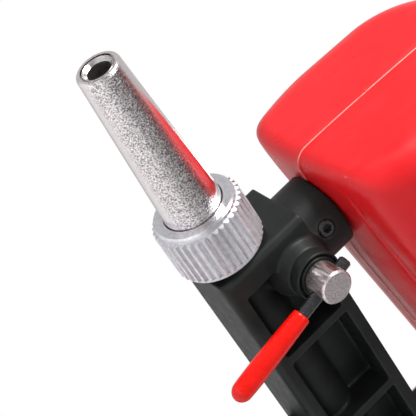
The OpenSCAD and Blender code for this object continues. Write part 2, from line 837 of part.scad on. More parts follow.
module inlet_seal() {
    set_down() color([0.1, 0.1, 0.1]) in_grip() translate([0, 0, -grip_len + 15.42]) ring(8.3, 4.8, 0.5);
}

frame();
nozzle();
nozzle_liner();
nozzle_nut();
nozzle_gasket();
air_jet();
jet_seal();
air_tube();
sand_spindle();
spindle_seals();
spindle_washer();
spindle_clip();
lever_rod();
lever_sleeve();
hopper();
hopper_seal();
neck_screw();
rear_bolt();
rear_washers();
rear_nut();
hopper_cap();
cap_gasket();
trigger();
trigger_pin();
pin_clips();
air_stem();
stem_washer();
valve_spring();
valve_gland();
gland_seal();
valve_plug();
plug_seal();
inlet_bushing();
inlet_seal();
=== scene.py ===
"""Looks of the hand-held sandblasting gun: moulded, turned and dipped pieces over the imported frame."""
import json
import math

import bmesh
import bpy
from mathutils import Matrix, Vector


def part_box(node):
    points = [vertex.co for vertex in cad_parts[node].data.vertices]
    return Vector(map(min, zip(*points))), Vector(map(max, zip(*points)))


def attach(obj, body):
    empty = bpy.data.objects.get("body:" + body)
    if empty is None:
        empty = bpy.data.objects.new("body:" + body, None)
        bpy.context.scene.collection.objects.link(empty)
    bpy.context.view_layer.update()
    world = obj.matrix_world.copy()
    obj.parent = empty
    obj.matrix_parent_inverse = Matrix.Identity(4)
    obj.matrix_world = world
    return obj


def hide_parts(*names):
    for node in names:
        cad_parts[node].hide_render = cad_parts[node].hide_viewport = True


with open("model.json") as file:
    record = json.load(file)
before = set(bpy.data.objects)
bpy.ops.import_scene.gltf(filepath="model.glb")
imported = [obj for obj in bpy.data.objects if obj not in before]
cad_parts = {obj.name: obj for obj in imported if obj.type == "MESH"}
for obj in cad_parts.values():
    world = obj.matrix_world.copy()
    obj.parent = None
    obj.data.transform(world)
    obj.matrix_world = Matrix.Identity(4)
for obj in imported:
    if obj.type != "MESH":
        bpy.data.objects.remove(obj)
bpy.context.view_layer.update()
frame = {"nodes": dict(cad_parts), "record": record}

MM = 0.001
bodies = frame["record"]["behaviour"]["bodies"]
body_of_node = {node: body for body, nodes in bodies.items() for node in nodes}


def middle(node):
    """Centre of a CAD node's box."""
    low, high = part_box(node)
    return [(a + b) / 2 for a, b in zip(low, high)]


# Zero of the nozzle's own axes: on the nozzle axis, at the nut's front face.
nozzle_zero = Vector((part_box("nozzle_nut")[1][0], 0, middle("nozzle")[2]))
valve_centre = Vector(middle("spindle_seals"))
neck_x = middle("hopper_seal")[0]
cap_x = middle("hopper_cap")[0]


# ---------------------------------------------------------------- materials

class Graph:
    """A material's nodes: a Principled shader with helpers that add detail to it."""

    def __init__(self, name, **constants):
        self.material = bpy.data.materials.new(name)
        self.material.use_nodes = True
        self.tree = self.material.node_tree
        self.shader = self.tree.nodes["Principled BSDF"]
        self.normal = None
        for key, value in constants.items():
            socket = key.replace("_", " ").title().replace("Ior", "IOR")
            self.shader.inputs[socket].default_value = value
        self.place = self.add("ShaderNodeTexCoord").outputs["Object"]

    def add(self, kind, **settings):
        node = self.tree.nodes.new(kind)
        for key, value in settings.items():
            setattr(node, key, value)
        return node

    def link(self, out, into):
        self.tree.links.new(out, into)

    def from_centre(self, centre, stretch=(1, 1, 1)):
        """Coordinates measured from a point, stretched along the axes."""
        shift = self.add("ShaderNodeVectorMath", operation="SUBTRACT")
        self.link(self.place, shift.inputs[0])
        shift.inputs[1].default_value = tuple(centre)
        scale = self.add("ShaderNodeVectorMath", operation="MULTIPLY")
        self.link(shift.outputs[0], scale.inputs[0])
        scale.inputs[1].default_value = stretch
        return scale.outputs[0]

    def facing(self, centre, direction):
        """Cosine of the angle between a direction and a point's radius about the centre line along X."""
        radial = self.add("ShaderNodeVectorMath", operation="NORMALIZE")
        self.link(self.from_centre(centre, (0, 1, 1)), radial.inputs[0])
        along = self.add("ShaderNodeVectorMath", operation="DOT_PRODUCT")
        self.link(radial.outputs[0], along.inputs[0])
        along.inputs[1].default_value = Vector(direction).normalized()
        return along.outputs["Value"]

    def product(self, first, second):
        node = self.add("ShaderNodeMath", operation="MULTIPLY")
        self.link(first, node.inputs[0])
        self.link(second, node.inputs[1])
        return node.outputs[0]

    def along_y(self):
        """A point's Y coordinate."""
        split = self.add("ShaderNodeSeparateXYZ")
        self.link(self.place, split.inputs[0])
        return split.outputs["Y"]

    def noise(self, size, detail=3.0, where=None):
        """Noise whose blotches are about size metres across."""
        node = self.add("ShaderNodeTexNoise")
        node.inputs["Scale"].default_value = 1 / size
        node.inputs["Detail"].default_value = detail
        self.link(where or self.place, node.inputs["Vector"])
        return node.outputs["Fac"]

    def range(self, value, low, high, start=0.3, end=0.7):
        """Maps a value from start..end to low..high."""
        node = self.add("ShaderNodeMapRange")
        numbers = {"From Min": start, "From Max": end, "To Min": low, "To Max": high}
        for socket, number in numbers.items():
            node.inputs[socket].default_value = number
        self.link(value, node.inputs["Value"])
        return node.outputs["Result"]

    def mix_colour(self, factor, first, second):
        node = self.add("ShaderNodeMix", data_type="RGBA")
        self.link(factor, node.inputs["Factor"])
        for socket, colour in ((node.inputs[6], first), (node.inputs[7], second)):
            if isinstance(colour, tuple):
                socket.default_value = (*colour, 1)
            else:
                self.link(colour, socket)
        return node.outputs[2]

    def colour(self, factor, first, second):
        """Base colour that varies between two colours."""
        self.link(self.mix_colour(factor, first, second), self.shader.inputs["Base Color"])

    def roughness(self, factor, low, high, start=0.3, end=0.7):
        self.link(self.range(factor, low, high, start, end), self.shader.inputs["Roughness"])

    def bump(self, height, depth, strength=1.0):
        """Adds relief of a depth in metres on top of the relief already there."""
        node = self.add("ShaderNodeBump")
        node.inputs["Strength"].default_value = strength
        node.inputs["Distance"].default_value = depth
        self.link(height, node.inputs["Height"])
        if self.normal:
            self.link(self.normal, node.inputs["Normal"])
        self.normal = node.outputs["Normal"]
        self.link(self.normal, self.shader.inputs["Normal"])


def moulded_black(name, dark, light, rough):
    """Satin plastic from a spark-eroded mould: fine pits and faint flow clouds."""
    g = Graph(name, specular_ior_level=0.28)
    clouds = g.noise(14 * MM, 4)
    g.colour(g.range(clouds, 0, 1, 0.35, 0.65), dark, light)
    g.roughness(g.noise(3 * MM, 5), rough - 0.06, rough + 0.08)
    g.bump(g.noise(0.35 * MM, 2), 0.02 * MM, 0.4)
    g.bump(clouds, 0.05 * MM, 0.2)
    return g.material


def red_plastic():
    """Glossy blown plastic: deep red, faintly wavy from the mould, with a painted highlight along its
    parting line.
    """
    line_core = 0.16 * MM
    line_edge = 0.36 * MM
    g = Graph("red_plastic", specular_ior_level=0.33)
    flow = g.range(g.noise(30 * MM, 3), 0, 1)
    red = g.mix_colour(flow, (0.64, 0.008, 0.012), (0.70, 0.012, 0.017))
    rubs = g.range(g.noise(9 * MM, 2, g.from_centre(nozzle_zero, (1, 2, 0.6))), 0, 0.06, 0.5, 0.8)
    rubbed = g.mix_colour(rubs, red, (0.85, 0.12, 0.12))
    across = g.add("ShaderNodeMath", operation="ABSOLUTE")
    g.link(g.along_y(), across.inputs[0])
    line = g.range(across.outputs[0], 0.95, 0, line_core, line_edge)
    # painted highlight: a pale, broken line along the ridge of the parting line
    seam_highlight = g.product(line, g.range(g.noise(2.5 * MM, 4), 0.45, 1))
    g.colour(seam_highlight, rubbed, (0.95, 0.36, 0.30))
    g.roughness(g.noise(8 * MM, 6), 0.26, 0.38)
    g.bump(g.noise(9 * MM, 2), 0.10 * MM, 0.3)
    g.bump(g.noise(0.7 * MM, 3), 0.012 * MM, 0.3)
    return g.material


def nozzle_steel():
    """Nickelled steel: on the lever's side, which faces the camera, coarse speckle that is partly grain
    and partly painted dark reflection with painted glints; smoother round the rest.
    """
    g = Graph("nozzle_steel", metallic=1.0)
    speck = g.noise(0.5 * MM, 4)
    # painted shade and glints: the side facing the camera gets darker speckle, with bright painted glints
    # over its grain
    grain_and_shade_side = g.range(g.facing(nozzle_zero, (0, 0.96, -0.28)), 0.10, 1, 0.55, 0.80)
    grain_and_glints = g.mix_colour(g.range(speck, 0, 1, 0.38, 0.58), (0.22, 0.19, 0.195), (0.95, 0.90, 0.91))
    fine = g.mix_colour(g.noise(2.5 * MM, 4), (0.74, 0.68, 0.685), (0.84, 0.78, 0.785))
    g.colour(grain_and_shade_side, fine, grain_and_glints)
    g.roughness(grain_and_shade_side, 0.16, 0.26, 0, 1)
    g.bump(g.product(speck, grain_and_shade_side), 0.15 * MM, 1.0)
    return g.material


def spindle_steel():
    """Spindle head: bright end with fine grain; its turned side painted darker and browner as painted
    shade and dark reflection, with painted highlight streaks along it.
    """
    g = Graph("valve_steel", metallic=1.0)
    grain = g.noise(0.55 * MM, 4)
    end = g.mix_colour(g.range(grain, 0, 1, 0.38, 0.62), (0.56, 0.48, 0.48), (0.86, 0.79, 0.79))
    # painted highlight: bright streaks along the spindle's turned side
    streak_highlight = g.noise(0.8 * MM, 5, g.from_centre(valve_centre, (1, 0.16, 1)))
    # painted shade: the turned side's colours are darker and browner than the end's
    side = g.mix_colour(g.range(streak_highlight, 0, 1, 0.35, 0.65), (0.26, 0.21, 0.20), (0.78, 0.70, 0.68))
    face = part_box("sand_spindle")[1][1]
    at_end = g.range(g.along_y(), 0, 1, face - 0.55 * MM, face - 0.35 * MM)
    g.colour(at_end, side, end)
    g.roughness(g.noise(2 * MM, 4), 0.32, 0.44)
    g.bump(grain, 0.05 * MM, 1.0)
    return g.material


def turned_metal(name, dark, light, rough, centre, rough_rim=None):
    """Bright metal turned about a line along X: fine tool rings with light handling marks.

    rough_rim is a radius and the roughness of the unturned metal outside it."""
    pitch = 0.32 * MM
    g = Graph(name, metallic=1.0, anisotropic=0.5)
    radius = g.add("ShaderNodeVectorMath", operation="LENGTH")
    g.link(g.from_centre(centre, (0, 1, 1)), radius.inputs[0])
    radius = radius.outputs["Value"]
    ring = g.add("ShaderNodeMath", operation="DIVIDE")
    g.link(radius, ring.inputs[0])
    ring.inputs[1].default_value = pitch
    number = g.add("ShaderNodeMath", operation="FLOOR")
    g.link(ring.outputs[0], number.inputs[0])
    rings = g.add("ShaderNodeTexWhiteNoise", noise_dimensions="1D")
    g.link(number.outputs[0], rings.inputs["W"])
    turned = g.range(rings.outputs["Value"], rough - 0.05, rough + 0.08, 0, 1)
    if rough_rim:
        edge, rim = rough_rim
        outside = g.range(radius, 0, 1, edge - 0.1 * MM, edge + 0.1 * MM)
        blend = g.add("ShaderNodeMix", data_type="FLOAT")
        g.link(outside, blend.inputs["Factor"])
        g.link(turned, blend.inputs[2])
        blend.inputs[3].default_value = rim
        turned = blend.outputs[0]
    g.link(turned, g.shader.inputs["Roughness"])
    marks = g.noise(1.6 * MM, 6)
    g.colour(g.range(marks, 0, 1), dark, light)
    turns = g.add("ShaderNodeMath", operation="MULTIPLY")
    g.link(radius, turns.inputs[0])
    turns.inputs[1].default_value = math.tau / pitch
    wave = g.add("ShaderNodeMath", operation="SINE")
    g.link(turns.outputs[0], wave.inputs[0])
    g.bump(wave.outputs[0], 0.006 * MM, 0.5)
    g.bump(marks, 0.006 * MM, 0.4)
    return g.material


def plated_steel(name, dark, light, rough):
    """Bright zinc plate with faint blotches and fine scratches."""
    g = Graph(name, metallic=1.0)
    blotch = g.noise(2.2 * MM, 5)
    g.colour(g.range(blotch, 0, 1), dark, light)
    g.roughness(g.noise(0.6 * MM, 6), rough - 0.07, rough + 0.1)
    g.bump(g.noise(0.3 * MM, 3, g.from_centre(nozzle_zero, (1, 6, 1))), 0.01 * MM, 0.5)
    return g.material


def black_paint():
    """Gloss black finish on steel, with grey wear in specks."""
    g = Graph("black_paint", coat_weight=0.5, coat_roughness=0.12)
    wear = g.range(g.noise(0.8 * MM, 8), 0, 1, 0.62, 0.74)
    g.colour(wear, (0.012, 0.012, 0.013), (0.09, 0.088, 0.086))
    g.roughness(g.noise(1.2 * MM, 5), 0.2, 0.36)
    g.bump(g.noise(0.5 * MM, 4), 0.012 * MM, 0.5)
    return g.material


def dipped_vinyl():
    """Glossy orange-red vinyl with the slow ripple of a dipped coat."""
    g = Graph("dipped_vinyl", specular_ior_level=0.22, coat_weight=0.2, coat_roughness=0.05)
    cloud = g.noise(4 * MM, 3)
    g.colour(g.range(cloud, 0, 1), (0.70, 0.004, 0.001), (0.80, 0.007, 0.0015))
    g.roughness(g.noise(2 * MM, 5), 0.22, 0.34)
    g.bump(g.noise(3.2 * MM, 2), 0.12 * MM, 0.3)
    g.bump(g.noise(0.5 * MM, 3), 0.008 * MM, 0.4)
    return g.material


def seal_rubber():
    """Matt black rubber with a dusty bloom."""
    g = Graph("seal_rubber", specular_ior_level=0.3)
    dust = g.noise(1.1 * MM, 6)
    g.colour(g.range(dust, 0, 1), (0.012, 0.012, 0.012), (0.035, 0.034, 0.033))
    g.roughness(dust, 0.65, 0.85)
    g.bump(g.noise(0.25 * MM, 3), 0.015 * MM, 0.6)
    return g.material


def pale_floor():
    """Matt pale studio floor."""
    g = Graph("pale_floor", specular_ior_level=0.2)
    g.colour(g.noise(0.4, 2), (0.83, 0.83, 0.84), (0.87, 0.87, 0.87))
    g.roughness(g.noise(0.1, 3), 0.7, 0.8)
    return g.material


def make_materials():
    """Every material, by the name that the pieces use."""
    turned_rim = (14.75 * MM, 0.5)
    moulding = moulded_black("moulding", (0.0065, 0.0075, 0.0072), (0.012, 0.0138, 0.0132), 0.46)
    trigger = moulded_black("trigger_plastic", (0.016, 0.016, 0.017), (0.03, 0.03, 0.031), 0.38)
    liner = turned_metal("liner_steel", (0.42, 0.40, 0.39), (0.6, 0.58, 0.57), 0.26, nozzle_zero)
    aluminium = turned_metal("turned_aluminium", (0.64, 0.635, 0.67), (0.80, 0.795, 0.83), 0.26,
                             nozzle_zero, turned_rim)
    brass = turned_metal("turned_brass", (0.60, 0.42, 0.17), (0.75, 0.56, 0.27), 0.28,
                         middle("valve_gland"))
    return {
        "moulding": moulding,
        "cap": moulded_black("cap_plastic", (0.014, 0.014, 0.015), (0.028, 0.028, 0.029), 0.4),
        "lever_black": trigger,
        "red_shell": red_plastic(),
        "nozzle_steel": nozzle_steel(),
        "liner_steel": liner,
        "turned_aluminium": aluminium,
        "valve_steel": spindle_steel(),
        "zinc": plated_steel("zinc_plate", (0.5, 0.5, 0.52), (0.68, 0.68, 0.7), 0.3),
        "black_rod": black_paint(),
        "vinyl": dipped_vinyl(),
        "brass": brass,
        "rubber": seal_rubber(),
        "spring_steel": plated_steel("spring_steel", (0.34, 0.34, 0.36), (0.5, 0.5, 0.52), 0.26),
    }


materials = make_materials()
slot_of_node = {part["node"]: part["material_slot"] for part in frame["record"]["subparts"]}


# ---------------------------------------------------------------- building tools

def piece(name, mesh, node, smooth_angle=40):
    """A finished piece that rides on node's body and takes its material."""
    obj = bpy.data.objects.new(name, mesh)
    bpy.context.scene.collection.objects.link(obj)
    finish(obj, slot_of_node[node], smooth_angle)
    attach(obj, body_of_node[node])
    return obj


def finish(obj, slot, smooth_angle):
    """Gives an object its one material and smooth shading up to an angle."""
    obj.data.materials.clear()
    obj.data.materials.append(materials[slot])
    obj.data.shade_smooth()
    obj.data.set_sharp_from_angle(angle=math.radians(smooth_angle))


def baked(obj):
    """The mesh of an object with its modifiers applied; the object is then removed."""
    depsgraph = bpy.context.evaluated_depsgraph_get()
    mesh = bpy.data.meshes.new_from_object(obj.evaluated_get(depsgraph))
    bpy.data.objects.remove(obj)
    return mesh


def loose(name, mesh):
    """A temporary object that only carries modifiers."""
    obj = bpy.data.objects.new(name, mesh)
    bpy.context.scene.collection.objects.link(obj)
    return obj


def moulded_copy(name, node, voxel, passes, cutter=None):
    """A CAD node as one soft-edged moulding: cut, remeshed finely, then smoothed."""
    obj = loose(name, frame["nodes"][node].data.copy())
    if cutter:
        cut = obj.modifiers.new("cut", "BOOLEAN")
        cut.operation = "DIFFERENCE"
        cut.solver = "EXACT"
        cut.object = cutter
    remesh = obj.modifiers.new("skin", "REMESH")
    remesh.mode = "VOXEL"
    remesh.voxel_size = voxel
    smooth = obj.modifiers.new("soften", "SMOOTH")
    smooth.factor = 0.5
    smooth.iterations = passes
    copy = piece(name, baked(obj), node, 180)
    if cutter:
        bpy.data.objects.remove(cutter)
    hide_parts(node)


def ring_mesh(loops, close_ends=True):
    """A mesh skinned over equal loops of points, closed round each loop and along the loops."""
    mesh = bmesh.new()
    rows = [[mesh.verts.new(p) for p in loop] for loop in loops]
    for one, two in zip(rows, rows[1:]):
        count = len(one)
        for i in range(count):
            mesh.faces.new((one[i], one[(i + 1) % count], two[(i + 1) % count], two[i]))
    if close_ends:
        mesh.faces.new(rows[0][::-1])
        mesh.faces.new(rows[-1])
    bmesh.ops.recalc_face_normals(mesh, faces=mesh.faces)
    out = bpy.data.meshes.new("skin")
    mesh.to_mesh(out)
    mesh.free()
    return out


def lathe(profile, centre, direction, steps=96):
    """A closed solid turned from (distance along, radius) points about a line."""
    turn = Vector((0, 0, 1)).rotation_difference(Vector(direction)).to_matrix()
    loops = []
    for along, radius in profile + profile[:1]:
        loops.append([
            Vector(centre) + turn @ Vector((radius * math.cos(a), radius * math.sin(a), along))
            for a in (math.tau * i / steps for i in range(steps))
        ])
    return ring_mesh(loops, close_ends=False)


def rounded(profile, radius, steps=3):
    """A closed profile whose corners are cut to small arcs."""
    out = []
    count = len(profile)
    for i, corner in enumerate(profile):
        here = Vector(corner)
        before = (Vector(profile[i - 1]) - here)
        after = (Vector(profile[(i + 1) % count]) - here)
        cut = min(radius, before.length * 0.45, after.length * 0.45)
        start = here + before.normalized() * cut
        end = here + after.normalized() * cut
        for k in range(steps + 1):
            t = k / steps
            out.append(tuple(start.lerp(here, t).lerp(here.lerp(end, t), t)))
    return out


# ---------------------------------------------------------------- hopper

SEAM_HALF = 0.35 * MM
SEAM_HIGH = 0.25 * MM
hopper_low, hopper_high = (Vector(corner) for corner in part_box("hopper"))
HALF = hopper_high.y
TOP = hopper_high.z - 17 * MM
FRONT = nozzle_zero.x - 14.8 * MM
REAR = hopper_low.x
WALL = 2.5 * MM
LEAN = 3.2                      # backward lean of the front face, in degrees
END_ROUND = 12 * MM             # rounding of the upright edges at both ends
LOW_ROUND = 6 * MM              # rounding of the lower edges at both ends
TOP_ROUND = 29 * MM             # rounding of the upper edges along the sides
LEVEL_FROM = 18 * MM            # distance behind the nut's face where the underside's height is given
UNDERSIDE = 37.5 * MM           # that height, above the nozzle's axis
BEND = 60 * MM                  # distance behind the nut's face where the underside's slope changes
BEND_EASE = 12 * MM             # half length of the change
LEVEL_SLOPE = 0.035
REAR_SLOPE = 0.113
FLAT = 24 * MM                  # half width that keeps its shape when an end draws in
STRIP = 7                       # half width of the flat strip under the hopper, in mm
GROOVE = 22.3                   # distance of the lower edge's groove from the middle, in mm
GROOVE_SIZE = 0.55              # its depth and half width, in mm
CORNER_TALL = 31 * MM           # height of the lower corner's section

# half of the lower corner's section: distance out from the middle and rise above the underside, in mm
LOWER_CORNER = [
    (3, 0), (6.6, 0), (7, 0), (7.4, 0), (10, 0), (13, 0), (16, 0.05), (19, 0.15), (20.4, 0.28),
    (21.2, 0.38), (21.7, 0.45), (22, 0.5), (22.3, 0.55), (22.6, 0.6), (22.9, 0.66), (23.4, 0.76),
    (24.2, 0.92), (25.4, 1.2), (26.8, 1.65), (28.2, 2.2), (29.2, 2.6), (30.2, 3.15), (31.2, 3.8),
    (32.2, 4.6), (33.1, 5.6), (33.9, 6.8), (34.6, 8.2), (35.3, 10), (36, 12), (36.8, 14.3), (37.6, 17),
    (38.3, 19.6), (38.9, 22.2), (39.4, 25), (39.8, 28), (40, 31),
]


def underside(x):
    """Height of the hopper's underside at x: nearly level in front, then rising to the back."""
    behind = nozzle_zero.x - x
    rise = LEVEL_SLOPE * (min(behind, BEND) - LEVEL_FROM)
    past = behind - BEND
    if past > BEND_EASE:
        rise += REAR_SLOPE * past
    elif past > -BEND_EASE:
        rise += REAR_SLOPE * (past + BEND_EASE) ** 2 / (4 * BEND_EASE)
    return nozzle_zero.z + UNDERSIDE + rise


def draw_in(depth, radius):
    """How far a skin draws in at a depth behind an end that is rounded with a radius."""
    if depth >= radius:
        return 0.0
    return radius - math.sqrt(radius * radius - (radius - depth) ** 2)


def ease(value, start, end):
    """Smooth step from 0 at start to 1 at end."""
    t = min(max((value - start) / (end - start), 0), 1)
    return t * t * (3 - 2 * t)


def half_section(half, low, top, groove, flare):
    """Right half of the hopper's section, from the seam below to the seam on top.

    groove is the strength of the moulded groove along the lower edge, and flare the slope at which
    the underside rises outside its flat strip."""
    points = [(0, low - SEAM_HIGH), (SEAM_HALF, low)]
    widest = LOWER_CORNER[-1][0]
    flat = FLAT / MM
    squeeze = (half - FLAT) / (widest * MM - FLAT)
    for out, rise in LOWER_CORNER:
        rise += groove * GROOVE_SIZE * math.exp(-((out - GROOVE) / GROOVE_SIZE) ** 2)
        rise += flare * max(0, min(out - STRIP, (flat - STRIP) * (widest - out) / (widest - flat)))
        out = out * MM
        if out > FLAT:
            out = FLAT + (out - FLAT) * squeeze
        points.append((out, low + rise * MM))
    round_top = min(TOP_ROUND, half - 6 * MM)
    side_end = top - round_top
    side_start = low + CORNER_TALL
    for i in range(1, 8):
        points.append((half, side_start + (side_end - side_start) * i / 8))
    for i in range(17):
        a = math.radians(90 * i / 16)
        points.append((half - round_top * (1 - math.cos(a)), side_end + round_top * math.sin(a)))
    points += [(SEAM_HALF, top), (0, top + SEAM_HIGH * 0.6)]
    return points


def section(x, lean, half, low, top, groove, flare):
    """Whole section loop at x, leaning back above the underside."""
    right = half_section(half, low, top, groove, flare)
    left = [(-y, z) for y, z in reversed(right[1:-1])]
    tilt = math.tan(math.radians(lean))
    return [Vector((x - (z - low) * tilt, y, z)) for y, z in right + left]


def end_cap(rim, crown):
    """Loops that close an end, shrinking to its middle but keeping the seam ridge's width."""
    centre = sum(rim, Vector()) / len(rim)
    loops = []
    steps = 14
    for k in range(1, steps + 1):
        f = 1 - k / (steps + 0.6)
        loop = []
        for p in rim:
            side = math.copysign(1, p.y) if abs(p.y) > 1e-7 else 0
            y = side * (SEAM_HALF + f * (abs(p.y) - SEAM_HALF))
            ridge = math.copysign(SEAM_HIGH, crown) if side == 0 else 0
            x = centre.x + f * (p.x - centre.x) + crown * (1 - f * f) + ridge
            loop.append(Vector((x, y, centre.z + f * (p.z - centre.z))))
        loops.append(loop)
    return loops


def shell_loops(wall):
    """Loops over the hopper's skin from front to back, wall inside the outer surface."""
    depths = [END_ROUND * (1 - math.cos(math.radians(90 * i / 12))) for i in range(13)]
    front = [(FRONT - wall - d, d, LEAN) for d in depths]
    back = [(REAR + wall + d, d, 0.0) for d in reversed(depths)]
    gap = 34
    first = front[-1][0]
    last = back[0][0]
    between = [(first + (last - first) * i / gap, 1.0, LEAN * (1 - i / gap)) for i in range(1, gap)]
    loops = []
    for x, depth, lean in front + between + back:
        side = draw_in(depth, END_ROUND) + wall
        below = draw_in(depth, LOW_ROUND) + wall
        groove = 0.0 if wall else ease(FRONT - x, 3 * MM, 14 * MM) * ease(x - REAR, 5 * MM, 16 * MM)
        flare = 0.03 + 0.17 * ease(nozzle_zero.x - x, 20 * MM, 70 * MM)
        loops.append(section(x, lean, HALF - side, underside(x) + below, TOP - side, groove, flare))
    crown = 0.01 * MM if wall else 0.5 * MM
    return end_cap(loops[0], crown)[::-1] + loops + end_cap(loops[-1], -crown)


def cylinder_object(name, x, radius, low, high, steps=96):
    """A temporary solid cylinder that stands on the middle plane at x."""
    turn = [math.tau * i / steps for i in range(steps)]
    return loose(name, ring_mesh([
        [Vector((x + radius * math.cos(a), radius * math.sin(a), z)) for a in turn]
        for z in (low, high)
    ]))


def turned_object(name, profile, x, z):
    """A temporary solid turned about an upright line, from heights above z and radii in mm."""
    return loose(name, lathe([(a * MM, r * MM) for a, r in profile], (x, 0, z), (0, 0, 1)))


def build_hopper():
    """Blown shell with its neck below and threaded mouth on top, hollow inside."""
    fill_bore = 20.5
    thread_root = 22.3
    thread_crest = 22.98
    outlet_bore = 7
    shell = loose("hopper_shell", ring_mesh(shell_loops(0)))
    hollow = loose("hollow", ring_mesh(shell_loops(WALL)))
    hollow_mouth = cylinder_object("mouth", cap_x, fill_bore * MM, TOP - 8 * MM, TOP + 30 * MM)
    outlet_low = nozzle_zero.z + 20 * MM
    outlet_high = underside(neck_x) + 6 * MM
    hollow_neck = cylinder_object("outlet", neck_x, outlet_bore * MM, outlet_low, outlet_high)
    # heights and radii in mm: a bead at the root of the mouth, four turns of thread, then the rim
    bead = [(-4, 20.6), (-4, 22.4), (0.8, 22.6), (1.0, 24.6), (2.2, 24.8), (2.4, 22.6)]
    rim = [(16.6, 22.4), (17, 22), (17, 20.6)]
    thread = []
    for turn in range(4):
        base = 3.4 + turn * 3.1
        thread += [(base, thread_root), (base + 0.7, thread_crest)]
        thread += [(base + 1.3, thread_crest), (base + 2.0, thread_root)]
    mouth = turned_object("filler", bead + thread + rim, cap_x, TOP)
    neck_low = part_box("hopper_seal")[1][2] + 0.1 * MM
    neck_tall = (underside(neck_x) + 1 * MM - neck_low) / MM
    neck_profile = [(0, 7.1), (0, 9.6), (0.4, 10), (neck_tall, 10), (neck_tall, 7.1)]
    neck = turned_object("neck", neck_profile, neck_x, neck_low)
    steps = [
        (hollow, "DIFFERENCE"),
        (hollow_mouth, "DIFFERENCE"),
        (hollow_neck, "DIFFERENCE"),
        (mouth, "UNION"),
        (neck, "UNION"),
    ]
    for tool, kind in steps:
        boolean = shell.modifiers.new(tool.name, "BOOLEAN")
        boolean.operation = kind
        boolean.solver = "EXACT"
        boolean.object = tool
    mesh = baked(shell)
    for tool, kind in steps:
        bpy.data.objects.remove(tool)
    return piece("hopper_shell", mesh, "hopper", 50)


def build_pips():
    """Specks of flash that the mould left beside the parting line of the front face."""
    mesh = bmesh.new()
    for y, height, size in ((-1.3, 45.8, 0.42), (0.5, 53.0, 0.34), (1.3, 54.2, 0.26)):
        z = nozzle_zero.z + height * MM
        x = FRONT - (z - underside(FRONT)) * math.tan(math.radians(LEAN)) + 0.32 * MM
        place = Matrix.Translation((x, y * MM, z)) @ Matrix.Diagonal((0.7, 1, 1, 1))
        bmesh.ops.create_icosphere(mesh, subdivisions=3, radius=size * MM, matrix=place)
    out = bpy.data.meshes.new("pips")
    mesh.to_mesh(out)
    mesh.free()
    piece("hopper_pips", out, "hopper", 180)


def build_rear_lug():
    """Flat lug under the hopper that the rear bolt passes through."""
    bolt = Vector(middle("rear_bolt"))
    width = 4 * MM
    high = underside(bolt.x) + 1.0 * MM
    outline = []
    for i in range(25):
        a = math.radians(180 + 180 * i / 24)
        outline.append((bolt.x + 7 * MM * math.cos(a), bolt.z + 4.6 * MM * math.sin(a)))
    outline += [(bolt.x + 7.6 * MM, high), (bolt.x - 7.6 * MM, high + 0.4 * MM)]
    edge = width - 0.5 * MM
    loops = []
    for y, size in ((-width, 0.94), (-edge, 1), (edge, 1), (width, 0.94)):
        face = []
        for x, z in outline:
            face.append(Vector((bolt.x + (x - bolt.x) * size, y, bolt.z + (z - bolt.z) * size)))
        loops.append(face)
    piece("hopper_lug", ring_mesh(loops), "hopper", 50)


hopper = build_hopper()
build_rear_lug()
build_pips()
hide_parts("hopper")


# ---------------------------------------------------------------- frame and trigger

BOSS_R = 8.7 * MM
BOSS_FACE = nozzle_zero.y + 23.7 * MM


def disc_y(name, radius, low, high, steps=96):
    """A temporary solid cylinder along Y about the valve spindle."""
    turn = [math.tau * i / steps for i in range(steps)]
    rim = [(valve_centre.x + radius * math.cos(a), valve_centre.z + radius * math.sin(a)) for a in turn]
    return loose(name, ring_mesh([[Vector((x, y, z)) for x, z in rim] for y in (low, high)]))


def build_boss_ring():
    """Crisp end of the spindle's boss: an outer lip, a groove and a raised inner ring."""
    outline = [
        (-5.4, 8.5), (-4.1, 8.66), (-0.35, 8.66), (0, 8.35), (0, 7.95), (-0.25, 7.8), (-1.3, 7.75),
        (-1.3, 7.1), (-0.1, 7.0), (0.2, 6.8), (0.2, 5.5), (0, 5.15), (-5.4, 5.15),
    ]
    profile = rounded([(a * MM, r * MM) for a, r in outline], 0.18 * MM)
    mesh = lathe(profile, (valve_centre.x, BOSS_FACE, valve_centre.z), (0, 1, 0), 128)
    piece("boss_ring", mesh, "frame", 45)


cutter = disc_y("boss_cutter", BOSS_R + 0.6 * MM, BOSS_FACE - 4.4 * MM, BOSS_FACE + 4 * MM)
moulded_copy("frame_moulding", "frame", 0.5 * MM, 4, cutter)
build_boss_ring()
moulded_copy("trigger_lever", "trigger", 0.45 * MM, 8)


# ---------------------------------------------------------------- lever's sleeve

